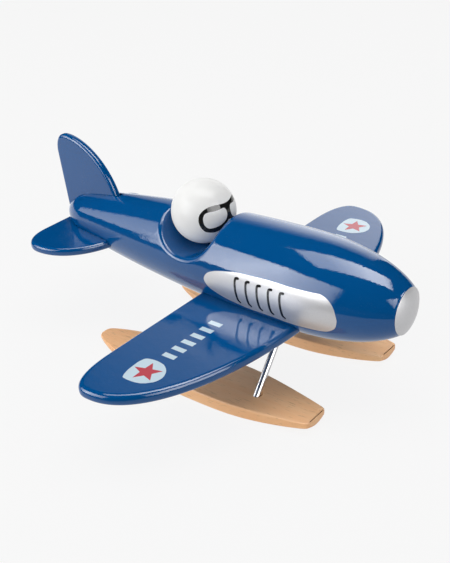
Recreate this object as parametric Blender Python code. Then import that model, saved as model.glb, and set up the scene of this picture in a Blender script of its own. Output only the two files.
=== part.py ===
# Wooden toy seaplane, standing on its two floats.
#
# The body is turned from one piece of wood and planed flat underneath. A wing board is let into
# the flat, a tailplane board slides into a slot from behind, and a fin board stands in a second
# slot on top. The pilot is a wooden ball in a round cross cut, the nose ends in a silver cap,
# and four steel rods carry two beech floats.
#
# Frame: +X to the nose, +Y to port, +Z up. The origin lies under the middle, at floor level.

import math

import bmesh
import bpy
from mathutils import Matrix, Vector

MM = 0.001
GAP = 0.3 * MM

# Body, turned about a lengthwise axis
BODY_AXIS_Z = 58.2 * MM
BODY_RADIUS = 26.3 * MM
BODY_WIDEST_X = 57.7 * MM
NOSE_CURVE_END_X = 120.9 * MM
TAIL_END_X = -112.5 * MM
TAIL_SHOULDER_X = -92.5 * MM
TAIL_RADIUS = 14.2 * MM
BODY_SEGMENTS = 64

# Silver cap, a shallow dome on the flat end of the nose
CAP_JOINT_X = 114.1 * MM
NOSE_TIP_X = 117.2 * MM

# Wing board, whose underside is flush with the planed belly
BELLY_Z = 37.8 * MM
WING_THICKNESS = 6.0 * MM
WING_EDGE_RADIUS = 2.4 * MM
WING = {"back": 2.5 * MM, "front": 65.3 * MM, "tip": 15.5 * MM, "corner": 89.0 * MM,
        "reach": 119.8 * MM, "back_power": 2.4, "front_power": 2.2}

# Tailplane board
TAILPLANE_TOP_Z = 54.4 * MM
TAIL_BOARD_THICKNESS = 5.0 * MM
TAIL_EDGE_RADIUS = 2.0 * MM
TAILPLANE = {"back": -111.6 * MM, "front": -63.9 * MM, "tip": -97.5 * MM, "corner": 24.5 * MM,
             "reach": 43.9 * MM, "back_power": 2.2, "front_power": 2.1}

# Fin board; its outline is measured up from the root line
FIN_FOOT_Z = 57.5 * MM
FIN_ROOT_Z = 61.9 * MM
FIN_ROOT_BACK_X = -112.8 * MM
FIN = {"back": -117.2 * MM, "front": -69.5 * MM, "tip": -109.1 * MM, "corner": 32.7 * MM,
       "reach": 43.5 * MM, "back_power": 2.4, "front_power": 1.8}

# Pilot's head, a ball that rests in a round cut across the body
HEAD_RADIUS = 17.5 * MM
HEAD_X = -8.5 * MM
COCKPIT_RADIUS = 19.5 * MM
COCKPIT_X = -7.6 * MM
COCKPIT_FLOOR_Z = 62.8 * MM

# Floats: distance from the middle, and one row for each section along the length
FLOAT_Y = 35.8 * MM
FLOAT_THICKNESS = 7.0 * MM
FLOAT_EDGE_RADIUS = 0.8 * MM
# columns: x, half width, height of the underside (all in mm)
FLOAT_SECTIONS = (
    (-58.0, 2.4, 5.2),
    (-57.1, 4.2, 5.1),
    (-55.0, 5.7, 4.9),
    (-51.0, 7.6, 4.3),
    (-43.0, 10.5, 3.1),
    (-33.5, 13.1, 1.7),
    (-23.5, 15.0, 0.6),
    (-13.0, 16.2, 0.0),
    (6.5, 17.1, 0.0),
    (28.5, 17.1, 0.0),
    (44.5, 16.2, 0.0),
    (58.5, 14.1, 0.2),
    (71.5, 11.6, 0.9),
    (81.0, 9.5, 1.9),
    (85.2, 8.3, 2.7),
    (86.5, 6.8, 3.0),
)

# Steel rods: one pair near the wing's front edge and one pair near its back edge
ROD_RADIUS = 1.8 * MM
ROD_FRONT_X = 51.3 * MM
ROD_BACK_X = 14.7 * MM
ROD_FOOT_Y = 37.3 * MM
ROD_TOP_Y = 12.0 * MM
ROD_SINK_IN_FLOAT = 4.5 * MM
ROD_SINK_IN_BODY = 9.0 * MM
ROD_SEGMENTS = 24

# Finishes: base colour, roughness, metallic
FINISHES = {
    "blue_lacquer": ((0.006, 0.070, 0.240, 1.0), 0.12, 0.0),
    "silver_paint": ((0.58, 0.58, 0.60, 1.0), 0.30, 0.85),
    "white_lacquer": ((0.87, 0.87, 0.86, 1.0), 0.15, 0.0),
    "beech": ((0.72, 0.45, 0.26, 1.0), 0.55, 0.0),
    "steel": ((0.62, 0.63, 0.65, 1.0), 0.20, 1.0),
}


def clear_scene():
    for scene_object in list(bpy.data.objects):
        bpy.data.objects.remove(scene_object, do_unlink=True)


def make_finish(name):
    colour, roughness, metallic = FINISHES[name]
    material = bpy.data.materials.new(name)
    material.use_nodes = True
    shader = material.node_tree.nodes["Principled BSDF"]
    shader.inputs["Base Color"].default_value = colour
    shader.inputs["Roughness"].default_value = roughness
    shader.inputs["Metallic"].default_value = metallic
    material.diffuse_color = colour
    return material


def add_object(name, mesh_data, finish=None):
    """Wraps a bmesh in a named object with one finish."""
    mesh = bpy.data.meshes.new(name)
    bmesh.ops.recalc_face_normals(mesh_data, faces=mesh_data.faces)
    mesh_data.to_mesh(mesh)
    mesh_data.free()
    if finish:
        mesh.materials.append(make_finish(finish))
    mesh.shade_smooth()
    mesh.set_sharp_from_angle(angle=math.radians(35.0))
    new_object = bpy.data.objects.new(name, mesh)
    bpy.context.collection.objects.link(new_object)
    return new_object


def mark_as_cutter(cutter):
    cutter.hide_render = True
    cutter.display_type = "WIRE"
    return cutter


def cut(target, cutter):
    modifier = target.modifiers.new(cutter.name, "BOOLEAN")
    modifier.operation = "DIFFERENCE"
    modifier.solver = "EXACT"
    modifier.object = cutter


def bridge_rings(mesh_data, rings):
    """Joins closed rings of vertices, one after the other, with four-sided faces."""
    for ring, following in zip(rings, rings[1:]):
        count = len(ring)
        for i in range(count):
            j = (i + 1) % count
            mesh_data.faces.new((ring[i], ring[j], following[j], following[i]))


def close_ring(mesh_data, ring, point):
    """Closes a ring with a fan of triangles to one point."""
    centre = mesh_data.verts.new(point)
    count = len(ring)
    for i in range(count):
        mesh_data.faces.new((ring[i], ring[(i + 1) % count], centre))


def body_radius(x):
    """Radius of the turned body: a dome at the tail, a long swelling curve, an elliptic nose."""
    if x >= BODY_WIDEST_X:
        along_nose = (x - BODY_WIDEST_X) / (NOSE_CURVE_END_X - BODY_WIDEST_X)
        return BODY_RADIUS * math.sqrt(max(0.0, 1.0 - along_nose ** 2))
    rear_length = BODY_WIDEST_X - TAIL_SHOULDER_X
    swelling = (BODY_RADIUS - TAIL_RADIUS) * ((BODY_WIDEST_X - x) / rear_length) ** 2
    radius = BODY_RADIUS - swelling
    if x < TAIL_SHOULDER_X:
        along_tail = (TAIL_SHOULDER_X - x) / (TAIL_SHOULDER_X - TAIL_END_X)
        radius *= math.sqrt(max(0.0, 1.0 - along_tail ** 2))
    return radius


def turned_ring(mesh_data, x, radius):
    ring = []
    for i in range(BODY_SEGMENTS):
        turn = 2.0 * math.pi * i / BODY_SEGMENTS
        y = radius * math.cos(turn)
        z = BODY_AXIS_Z + radius * math.sin(turn)
        ring.append(mesh_data.verts.new((x, y, z)))
    return ring


def make_body():
    """The turned body without its cuts, from the tail's end to the cap's joint."""
    mesh_data = bmesh.new()
    dome_steps = 9
    rear_steps = 18
    nose_steps = 14
    stations = []
    for i in range(1, dome_steps):
        angle = math.pi / 2 * (1.0 - i / dome_steps)
        stations.append(TAIL_SHOULDER_X - (TAIL_SHOULDER_X - TAIL_END_X) * math.sin(angle))
    for i in range(rear_steps):
        stations.append(TAIL_SHOULDER_X + (BODY_WIDEST_X - TAIL_SHOULDER_X) * i / rear_steps)
    nose_length = NOSE_CURVE_END_X - BODY_WIDEST_X
    joint_angle = math.asin((CAP_JOINT_X - BODY_WIDEST_X) / nose_length)
    for i in range(nose_steps + 1):
        angle = joint_angle * i / nose_steps
        stations.append(BODY_WIDEST_X + nose_length * math.sin(angle))
    rings = [turned_ring(mesh_data, x, body_radius(x)) for x in stations]
    bridge_rings(mesh_data, rings)
    close_ring(mesh_data, rings[0], (TAIL_END_X, 0.0, BODY_AXIS_Z))
    close_ring(mesh_data, rings[-1], (CAP_JOINT_X, 0.0, BODY_AXIS_Z))
    return add_object("fuselage", mesh_data, "blue_lacquer")


def make_nose_cap():
    """A shallow dome, part of a sphere, as wide as the flat end of the nose."""
    mesh_data = bmesh.new()
    steps = 8
    foot_x = CAP_JOINT_X + GAP
    foot_radius = body_radius(CAP_JOINT_X)
    height = NOSE_TIP_X - foot_x
    sphere_radius = (foot_radius ** 2 + height ** 2) / (2.0 * height)
    half_angle = math.asin(foot_radius / sphere_radius)
    rings = []
    for i in range(steps):
        angle = half_angle * (1.0 - i / steps)
        x = NOSE_TIP_X - sphere_radius * (1.0 - math.cos(angle))
        rings.append(turned_ring(mesh_data, x, sphere_radius * math.sin(angle)))
    bridge_rings(mesh_data, rings)
    close_ring(mesh_data, rings[0], (foot_x, 0.0, BODY_AXIS_Z))
    close_ring(mesh_data, rings[-1], (NOSE_TIP_X, 0.0, BODY_AXIS_Z))
    return add_object("nose_cap", mesh_data, "silver_paint")


def leaf_curve(shape, back_steps, front_steps):
    """Half of a board's outline, from its straight back edge round the tip to its front edge."""
    points = []
    for i in range(back_steps):
        angle = math.pi / 2 * i / back_steps
        across = shape["reach"] - shape["corner"]
        exponent = 2.0 / shape["back_power"]
        x = shape["tip"] - (shape["tip"] - shape["back"]) * math.cos(angle) ** exponent
        points.append((x, shape["corner"] + across * math.sin(angle) ** exponent))
    for i in range(front_steps):
        angle = math.pi / 2 * (1.0 - i / front_steps)
        exponent = 2.0 / shape["front_power"]
        x = shape["tip"] + (shape["front"] - shape["tip"]) * math.cos(angle) ** exponent
        points.append((x, shape["reach"] * math.sin(angle) ** exponent))
    return points


def mirrored_outline(shape, back_steps, front_steps):
    """Closed outline of a board that reaches out to both sides."""
    half = leaf_curve(shape, back_steps, front_steps)
    front_middle = [(shape["front"], 0.0)]
    other_half = [(x, -y) for x, y in reversed(half)]
    return half + front_middle + other_half


def fin_outline():
    upper = [(x, FIN_ROOT_Z + height) for x, height in leaf_curve(FIN, 6, 20)]
    front_root = [(FIN["front"], FIN_ROOT_Z), (FIN["front"], FIN_FOOT_Z)]
    back_foot = [(FIN_ROOT_BACK_X, FIN_FOOT_Z)]
    return upper + front_root + back_foot


def grown_outline(outline, distance):
    """Moves each point of an outline outwards, or inwards where the distance is negative."""
    area = 0.0
    for (x0, y0), (x1, y1) in zip(outline, outline[1:] + outline[:1]):
        area += x0 * y1 - x1 * y0
    outward = 1.0 if area > 0.0 else -1.0
    moved = []
    count = len(outline)
    for i in range(count):
        here = Vector(outline[i])
        before = (here - Vector(outline[i - 1])).normalized()
        after = (Vector(outline[(i + 1) % count]) - here).normalized()
        normal = Vector((before.y + after.y, -before.x - after.x)).normalized() * outward
        stretch = max(0.5, normal.dot(Vector((after.y, -after.x)) * outward))
        moved.append(tuple(here + normal * distance / stretch))
    return moved


def rounded_edge(low, high, low_radius, high_radius, steps):
    """Rows of (inset, height) that run up a board's edge, with a round at both corners."""
    rows = []
    for i in range(steps + 1):
        angle = math.pi / 2 * i / steps
        rows.append((low_radius * (1.0 - math.sin(angle)), low + low_radius * (1.0 - math.cos(angle))))
    for i in range(steps + 1):
        angle = math.pi / 2 * i / steps
        rows.append((high_radius * (1.0 - math.cos(angle)), high - high_radius * (1.0 - math.sin(angle))))
    return rows


def board(name, outline, rows, finish=None, upright=False):
    """A flat board from an outline and its edge rows; an upright one stands in the XZ plane."""
    mesh_data = bmesh.new()
    rings = []
    for inset, height in rows:
        ring = []
        for u, v in grown_outline(outline, -inset):
            point = (u, height, v) if upright else (u, v, height)
            ring.append(mesh_data.verts.new(point))
        rings.append(ring)
    bridge_rings(mesh_data, rings)
    mesh_data.faces.new(rings[0])
    mesh_data.faces.new(rings[-1])
    return add_object(name, mesh_data, finish)


def make_wing():
    outline = mirrored_outline(WING, 9, 26)
    top = BELLY_Z + WING_THICKNESS
    rows = rounded_edge(BELLY_Z, top, WING_EDGE_RADIUS, WING_EDGE_RADIUS, 3)
    wing = board("wing", outline, rows, "blue_lacquer")
    notch_depth = 10.0 * MM
    notch_rows = rounded_edge(BELLY_Z - notch_depth, top + GAP, 0.0, WING_EDGE_RADIUS, 3)
    notch = board("cut_wing_notch", grown_outline(outline, GAP), notch_rows)
    return wing, mark_as_cutter(notch)


def make_tailplane():
    outline = mirrored_outline(TAILPLANE, 7, 20)
    bottom = TAILPLANE_TOP_Z - TAIL_BOARD_THICKNESS
    rows = rounded_edge(bottom, TAILPLANE_TOP_Z, TAIL_EDGE_RADIUS, TAIL_EDGE_RADIUS, 3)
    tailplane = board("tailplane", outline, rows, "blue_lacquer")
    longer = dict(TAILPLANE, back=TAILPLANE["back"] - 10.0 * MM)
    slot_outline = grown_outline(mirrored_outline(longer, 7, 20), GAP)
    slot_rows = rounded_edge(bottom - GAP, TAILPLANE_TOP_Z + GAP, TAIL_EDGE_RADIUS, TAIL_EDGE_RADIUS, 3)
    slot = board("cut_tailplane_slot", slot_outline, slot_rows)
    return tailplane, mark_as_cutter(slot)


def make_fin():
    half = TAIL_BOARD_THICKNESS / 2
    rows = rounded_edge(-half, half, TAIL_EDGE_RADIUS, TAIL_EDGE_RADIUS, 3)
    fin = board("fin", fin_outline(), rows, "blue_lacquer", upright=True)
    slot_back = TAIL_END_X - 10.0 * MM
    slot_front = FIN["front"] + GAP
    slot_foot = FIN_FOOT_Z - GAP
    slot_outline = [(slot_back, slot_foot), (slot_front, slot_foot),
                    (slot_front, slot_foot + FIN["reach"]), (slot_back, slot_foot + FIN["reach"])]
    slot_rows = rounded_edge(-half - GAP, half + GAP, 0.0, 0.0, 1)
    slot_rows = [slot_rows[0], slot_rows[-1]]
    slot = board("cut_fin_slot", slot_outline, slot_rows, upright=True)
    return fin, mark_as_cutter(slot)


def make_head():
    """A ball that rests in the cockpit's round cut, just clear of its floor."""
    mesh_data = bmesh.new()
    bmesh.ops.create_uvsphere(mesh_data, u_segments=40, v_segments=20, radius=HEAD_RADIUS)
    play = COCKPIT_RADIUS - HEAD_RADIUS - GAP
    drop = math.sqrt(play ** 2 - (HEAD_X - COCKPIT_X) ** 2)
    centre = (HEAD_X, 0.0, COCKPIT_FLOOR_Z + COCKPIT_RADIUS - drop)
    bmesh.ops.transform(mesh_data, matrix=Matrix.Translation(centre), verts=mesh_data.verts)
    return add_object("pilot_head", mesh_data, "white_lacquer")


def round_bar(name, start, end, radius, segments, finish=None):
    """A round bar between two points."""
    mesh_data = bmesh.new()
    run = Vector(end) - Vector(start)
    turn = run.to_track_quat("Z", "Y").to_matrix().to_4x4()
    middle = Matrix.Translation((Vector(start) + Vector(end)) / 2)
    bmesh.ops.create_cone(mesh_data, cap_ends=True, segments=segments, radius1=radius,
                          radius2=radius, depth=run.length, matrix=middle @ turn)
    return add_object(name, mesh_data, finish)


def make_cockpit_cutter():
    reach = 2.0 * BODY_RADIUS
    height = COCKPIT_FLOOR_Z + COCKPIT_RADIUS
    cutter = round_bar("cut_cockpit", (COCKPIT_X, -reach, height), (COCKPIT_X, reach, height),
                       COCKPIT_RADIUS, 72)
    return mark_as_cutter(cutter)


def make_belly_cutter():
    """A box under the belly, which planes the body flat."""
    mesh_data = bmesh.new()
    bmesh.ops.create_cube(mesh_data, size=1.0)
    length = NOSE_TIP_X - TAIL_END_X
    depth = BODY_RADIUS
    scale = Matrix.Diagonal((1.2 * length, 3.0 * BODY_RADIUS, depth, 1.0))
    place = Matrix.Translation((0.0, 0.0, BELLY_Z - depth / 2))
    bmesh.ops.transform(mesh_data, matrix=place @ scale, verts=mesh_data.verts)
    return mark_as_cutter(add_object("cut_belly", mesh_data))


def smooth_rows(table, steps):
    """Rows read from a smooth curve through a table's rows, with its own rows kept."""
    rows = []
    last = len(table) - 1
    for i in range(last):
        before = table[max(i - 1, 0)]
        after = table[min(i + 2, last)]
        for k in range(steps):
            t = k / steps
            row = []
            for a, b, c, d in zip(before, table[i], table[i + 1], after):
                bend = (2 * a - 5 * b + 4 * c - d) * t ** 2 + (3 * b - a - 3 * c + d) * t ** 3
                row.append(b + 0.5 * ((c - a) * t + bend))
            rows.append(row)
    rows.append(list(table[last]))
    return rows


def float_section(half_width, underside):
    """One cross-section of a float: a flat board's end with its four long edges eased."""
    top = FLOAT_THICKNESS
    radius = min(FLOAT_EDGE_RADIUS, 0.4 * half_width, 0.4 * (top - underside))
    corners = ((half_width, underside, -90.0), (half_width, top, 0.0),
               (-half_width, top, 90.0), (-half_width, underside, 180.0))
    points = []
    for y, z, start in corners:
        centre_y = y - math.copysign(radius, y)
        centre_z = z - radius if z == top else z + radius
        for step in range(3):
            angle = math.radians(start + 45.0 * step)
            points.append((centre_y + radius * math.cos(angle), centre_z + radius * math.sin(angle)))
    return points


def make_float(name, side):
    mesh_data = bmesh.new()
    rings = []
    for x, half_width, underside in smooth_rows(FLOAT_SECTIONS, 2):
        ring = []
        for y, z in float_section(half_width * MM, max(0.0, underside * MM)):
            ring.append(mesh_data.verts.new((x * MM, side * FLOAT_Y + y, z)))
        rings.append(ring)
    bridge_rings(mesh_data, rings)
    mesh_data.faces.new(rings[0])
    mesh_data.faces.new(rings[-1])
    return add_object(name, mesh_data, "beech")


def rod_point(x, side, z):
    """The point at height z on the middle line of one leaning rod."""
    rise = (z - FLOAT_THICKNESS) / (BELLY_Z - FLOAT_THICKNESS)
    return (x, side * (ROD_FOOT_Y + (ROD_TOP_Y - ROD_FOOT_Y) * rise), z)


def make_rod(name, x, side):
    """A leaning rod, and the cutter of its bore through float, wing and body."""
    foot_z = FLOAT_THICKNESS - ROD_SINK_IN_FLOAT
    top_z = BELLY_Z + ROD_SINK_IN_BODY
    rod = round_bar(name, rod_point(x, side, foot_z), rod_point(x, side, top_z),
                    ROD_RADIUS, ROD_SEGMENTS, "steel")
    bore = round_bar("cut_" + name, rod_point(x, side, foot_z - GAP), rod_point(x, side, top_z + GAP),
                     ROD_RADIUS + GAP, ROD_SEGMENTS)
    return rod, mark_as_cutter(bore)


def main():
    clear_scene()
    body = make_body()
    make_nose_cap()
    wing, wing_notch = make_wing()
    tailplane_slot = make_tailplane()[1]
    fin_slot = make_fin()[1]
    make_head()
    for cutter in (make_belly_cutter(), wing_notch, tailplane_slot, fin_slot, make_cockpit_cutter()):
        cut(body, cutter)
    for side_name, side in (("left", 1.0), ("right", -1.0)):
        float_board = make_float("float_" + side_name, side)
        for place, x in (("front", ROD_FRONT_X), ("rear", ROD_BACK_X)):
            bore = make_rod("strut_" + place + "_" + side_name, x, side)[1]
            for pierced in (float_board, wing, body):
                cut(pierced, bore)


main()
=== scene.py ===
# %% [markdown]
# The object is a wooden toy seaplane: a body turned on a lathe, a wing and tail boards sawn from
# flat board, a ball for the pilot, and two floats on steel rods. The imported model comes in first
# as a fixed frame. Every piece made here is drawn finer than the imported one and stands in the
# same place, so that nothing has to be fitted later. Measures are written in millimetres.

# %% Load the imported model
import math

import bmesh
import bpy
import numpy as np
from mathutils import Matrix, Vector
from mathutils.geometry import delaunay_2d_cdt


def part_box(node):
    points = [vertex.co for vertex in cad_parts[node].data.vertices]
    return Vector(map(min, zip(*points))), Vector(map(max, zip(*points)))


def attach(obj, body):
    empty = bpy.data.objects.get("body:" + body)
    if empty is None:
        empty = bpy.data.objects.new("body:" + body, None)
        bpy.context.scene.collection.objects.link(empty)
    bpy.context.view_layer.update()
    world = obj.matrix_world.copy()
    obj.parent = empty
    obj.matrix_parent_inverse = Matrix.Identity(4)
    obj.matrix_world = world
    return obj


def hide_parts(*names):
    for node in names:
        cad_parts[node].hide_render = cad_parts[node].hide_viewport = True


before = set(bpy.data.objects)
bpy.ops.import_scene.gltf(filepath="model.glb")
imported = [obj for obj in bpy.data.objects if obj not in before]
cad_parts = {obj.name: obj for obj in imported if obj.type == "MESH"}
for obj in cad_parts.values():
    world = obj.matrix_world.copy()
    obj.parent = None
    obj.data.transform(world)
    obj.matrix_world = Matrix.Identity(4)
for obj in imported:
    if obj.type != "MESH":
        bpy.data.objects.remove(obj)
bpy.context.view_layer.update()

MM = 0.001
scene = bpy.context.scene


def box_mm(node):
    """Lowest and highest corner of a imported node, in millimetres."""
    low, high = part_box(node)
    return np.array(low) / MM, np.array(high) / MM


# %% [markdown]
# The camera stands where the photograph was taken from. Its place was solved from the outlines
# of the boards, the ball and the nose ring, so the same lines fall on the same spots here. A
# camera that only looks about right would bend every proportion a little.

# %% Camera
PHOTO_WIDTH = 450
PHOTO_HEIGHT = 563
FOCAL_LENGTH_PIXELS = 952.33
SENSOR = 36.0
CAMERA_AIM = Vector((4.20, -0.715, 41.68)) * MM
CAMERA_DISTANCE = 520.3 * MM
CAMERA_AZIMUTH = 0.6847
CAMERA_ELEVATION = 0.5000
CAMERA_ROLL = -0.0520


def direction(azimuth, elevation):
    """Unit vector towards an azimuth, counted from -Y towards +X, and an elevation."""
    level = math.cos(elevation)
    return Vector((math.sin(azimuth) * level, -math.cos(azimuth) * level, math.sin(elevation)))


def add_camera():
    data = bpy.data.cameras.new("photo_camera")
    data.sensor_width = SENSOR
    data.lens = FOCAL_LENGTH_PIXELS * SENSOR / max(PHOTO_WIDTH, PHOTO_HEIGHT)
    data.clip_start = 0.01
    data.clip_end = 30.0
    camera = bpy.data.objects.new("photo_camera", data)
    scene.collection.objects.link(camera)
    back = direction(CAMERA_AZIMUTH, CAMERA_ELEVATION)
    level = Vector((math.cos(CAMERA_AZIMUTH), math.sin(CAMERA_AZIMUTH), 0.0))
    up = back.cross(level)
    right = level * math.cos(CAMERA_ROLL) + up * math.sin(CAMERA_ROLL)
    top = up * math.cos(CAMERA_ROLL) - level * math.sin(CAMERA_ROLL)
    turn = Matrix((right, top, back)).transposed().to_4x4()
    camera.matrix_world = Matrix.Translation(CAMERA_AIM + back * CAMERA_DISTANCE) @ turn
    scene.camera = camera
    return camera


camera = add_camera()
print("camera at", [round(v, 3) for v in camera.location], "lens", round(camera.data.lens, 2))

# %% [markdown]
# Gloss lacquer looks like nothing without something to mirror. The reflections in the photograph
# tell where the studio's lamps stood: a long soft box to the left, a bigger one overhead and a
# lit backdrop behind. Each becomes an area light that the camera itself doesn't see. The world
# is pale for the camera and dark for everything else, which keeps the lacquer deep.

# %% Lights, world and floor
STAGE_PALE = 0.93
LIGHT_TARGET = Vector((0.0, 0.0, 50.0)) * MM
EVEN = ((0.0, 1.0), (1.0, 1.0))
# name, azimuth and elevation in degrees, distance, width, height in metres, radiance, and how it
# changes from side to side and from foot to top, as shares along the box and of the radiance
SOFT_BOXES = (
    ("soft_box_over", 119.5, 85.7, 1.083, 0.60, 1.16, 11.0, EVEN,
     ((0.0, 0.45), (0.12, 0.95), (0.35, 1.0), (0.55, 0.72), (0.75, 0.48), (1.0, 0.44))),
    ("soft_box_left", -25.5, 20.3, 1.30, 1.245, 0.925, 10.2,
     ((0.0, 0.42), (0.12, 0.62), (0.24, 0.76), (0.34, 1.0), (0.42, 0.80), (0.54, 0.66), (0.68, 0.53),
      (0.84, 0.43), (0.95, 0.34), (1.0, 0.22)), EVEN),
    ("soft_box_left_rear", -60.7, 23.0, 1.30, 0.40, 0.65, 3.6,
     ((0.0, 0.66), (0.5, 0.84), (1.0, 1.0)), EVEN),
    ("backdrop_light", -150.5, 20.0, 1.60, 1.19, 1.46, 2.3,
     ((0.0, 0.74), (0.2, 0.9), (0.4, 1.0), (0.6, 0.72), (0.78, 0.42), (0.95, 0.26), (1.0, 0.12)),
     ((0.0, 0.75), (0.25, 1.0), (0.62, 1.0), (0.76, 0.68), (0.9, 0.36), (1.0, 0.05))),
    ("soft_box_right", 80.0, 22.0, 1.50, 1.34, 1.06, 7.0,
     ((0.0, 0.40), (0.4, 1.0), (1.0, 1.0)), EVEN),
)
# the same, for the lamps that light matt surfaces
FILL_BOXES = (
    ("fill_over", 119.5, 85.7, 0.98, 0.55, 1.0, 2.1, EVEN, EVEN),
    ("fill_left", -35.0, 20.0, 1.12, 1.06, 0.71, 2.2, EVEN, EVEN),
)
FILL_FROM_ALL_SIDES = 0.56
POWER_PER_RADIANCE = math.pi
FLOOR_RADIUS = 3.5
FLOOR_Z = -0.0002
FLOOR_SEEN = 0.878
FLOOR_LIGHTS = 0.60
FLOOR_MIRRORED = 0.83
FLOOR_MIRRORED_SLOPE = -1.6
FLOOR_FRONT_EDGE = (-0.198, -0.180)
FLOOR_FRONT_SLANT = 0.25
FLOOR_ALBEDO = 0.06


def put(tree, socket, value):
    """Links a socket to another node's output, or sets its own value."""
    if isinstance(value, bpy.types.NodeSocket):
        tree.links.new(value, socket)
    else:
        socket.default_value = value


def node(tree, kind, settings=None, **inputs):
    """Adds a node; settings are its options, the rest its named inputs."""
    made = tree.nodes.new(kind)
    for key, value in (settings or {}).items():
        setattr(made, key, value)
    for key, value in inputs.items():
        put(tree, made.inputs[key.replace("_", " ")], value)
    return made


def ramp(tree, value, stops):
    """Reads a value off a table of (position, grey) stops."""
    made = node(tree, "ShaderNodeValToRGB", Fac=value)
    stored = made.color_ramp.elements
    while len(stored) < len(stops):
        stored.new(1.0)
    for element, (position, grey) in zip(stored, stops):
        element.position = position
        element.color = (grey, grey, grey, 1.0)
    return made.outputs["Color"]


def shade_box(data, sideways, upwards):
    """Lets a lamp's radiance change over its face, as a soft box with its lamp off centre does."""
    data.use_nodes = True
    tree = data.node_tree
    tree.nodes.clear()
    place = node(tree, "ShaderNodeSeparateXYZ")
    tree.links.new(node(tree, "ShaderNodeNewGeometry").outputs["Parametric"], place.inputs[0])
    both = node(tree, "ShaderNodeMath", {"operation": "MULTIPLY"})
    put(tree, both.inputs[0], ramp(tree, place.outputs["X"], sideways))
    put(tree, both.inputs[1], ramp(tree, place.outputs["Y"], upwards))
    glow = node(tree, "ShaderNodeEmission", Color=(1.0, 1.0, 1.0, 1.0), Strength=both.outputs[0])
    out = node(tree, "ShaderNodeOutputLight")
    tree.links.new(glow.outputs[0], out.inputs["Surface"])


def add_soft_box(name, azimuth, elevation, distance, width, height, radiance, sideways, upwards,
                 mirrored):
    """An area light that only gloss mirrors, or that only lights what is matt."""
    data = bpy.data.lights.new(name, "AREA")
    data.shape = "RECTANGLE"
    data.size = width
    data.size_y = height
    data.energy = radiance * POWER_PER_RADIANCE * width * height
    lamp = bpy.data.objects.new(name, data)
    scene.collection.objects.link(lamp)
    back = direction(math.radians(azimuth), math.radians(elevation))
    lamp.matrix_world = Matrix.Translation(LIGHT_TARGET + back * distance) @ (
        back.to_track_quat("Z", "Y").to_matrix().to_4x4())
    lamp.visible_camera = False
    lamp.visible_glossy = mirrored
    lamp.visible_diffuse = not mirrored
    if mirrored:
        shade_box(data, sideways, upwards)
    return lamp


def make_world():
    world = bpy.data.worlds.new("pale_studio")
    scene.world = world
    world.use_nodes = True
    tree = world.node_tree
    tree.nodes.clear()
    rays = node(tree, "ShaderNodeLightPath")
    dark = node(tree, "ShaderNodeBackground", Color=(FILL_FROM_ALL_SIDES,) * 3 + (1.0,))
    pale = node(tree, "ShaderNodeBackground", Color=(STAGE_PALE, STAGE_PALE, STAGE_PALE, 1.0))
    mix = node(tree, "ShaderNodeMixShader", Fac=rays.outputs["Is Camera Ray"])
    tree.links.new(dark.outputs[0], mix.inputs[1])
    tree.links.new(pale.outputs[0], mix.inputs[2])
    out = node(tree, "ShaderNodeOutputWorld")
    tree.links.new(mix.outputs[0], out.inputs["Surface"])
    world.cycles_visibility.glossy = False


def make_floor():
    material = bpy.data.materials.new("floor_paper")
    material.use_nodes = True
    tree = material.node_tree
    tree.nodes.clear()
    geometry = node(tree, "ShaderNodeNewGeometry")
    rays = node(tree, "ShaderNodeLightPath")
    spot = node(tree, "ShaderNodeSeparateXYZ")
    tree.links.new(geometry.outputs["Position"], spot.inputs[0])

    def pick(factor, low, high, first=0.0, last=1.0):
        made = node(tree, "ShaderNodeMapRange")
        for index, value in enumerate((factor, first, last, low, high)):
            put(tree, made.inputs[index], value)
        return made.outputs[0]

    slope = pick(spot.outputs["X"], FLOOR_MIRRORED - 0.25 * FLOOR_MIRRORED_SLOPE,
                 FLOOR_MIRRORED + 0.1 * FLOOR_MIRRORED_SLOPE, -0.25, 0.1)
    slant = node(tree, "ShaderNodeMath", {"operation": "MULTIPLY_ADD"})
    for index, value in enumerate((spot.outputs["X"], -FLOOR_FRONT_SLANT, spot.outputs["Y"])):
        put(tree, slant.inputs[index], value)
    mirrored = pick(slant.outputs[0], 0.0, slope, *FLOOR_FRONT_EDGE)
    strength = pick(rays.outputs["Is Camera Ray"], FLOOR_LIGHTS, FLOOR_SEEN)
    strength = pick(rays.outputs["Is Glossy Ray"], strength, mirrored)
    glow = node(tree, "ShaderNodeEmission", Color=(1.0, 1.0, 1.0, 1.0), Strength=strength)
    paper = node(tree, "ShaderNodeBsdfDiffuse", Color=(FLOOR_ALBEDO, FLOOR_ALBEDO, FLOOR_ALBEDO, 1.0))
    lit = node(tree, "ShaderNodeAddShader")
    tree.links.new(glow.outputs[0], lit.inputs[0])
    tree.links.new(paper.outputs[0], lit.inputs[1])
    clear = node(tree, "ShaderNodeBsdfTransparent")
    mix = node(tree, "ShaderNodeMixShader", Fac=geometry.outputs["Backfacing"])
    tree.links.new(lit.outputs[0], mix.inputs[1])
    tree.links.new(clear.outputs[0], mix.inputs[2])
    out = node(tree, "ShaderNodeOutputMaterial")
    tree.links.new(mix.outputs[0], out.inputs["Surface"])
    data = bmesh.new()
    bmesh.ops.create_circle(data, cap_ends=True, segments=96, radius=FLOOR_RADIUS)
    bmesh.ops.translate(data, verts=data.verts, vec=(0.0, 0.0, FLOOR_Z))
    bmesh.ops.recalc_face_normals(data, faces=data.faces)
    for face in data.faces:
        if face.normal.z < 0.0:
            face.normal_flip()
    mesh = bpy.data.meshes.new("floor")
    data.to_mesh(mesh)
    data.free()
    mesh.materials.append(material)
    floor = bpy.data.objects.new("floor", mesh)
    scene.collection.objects.link(floor)


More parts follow.
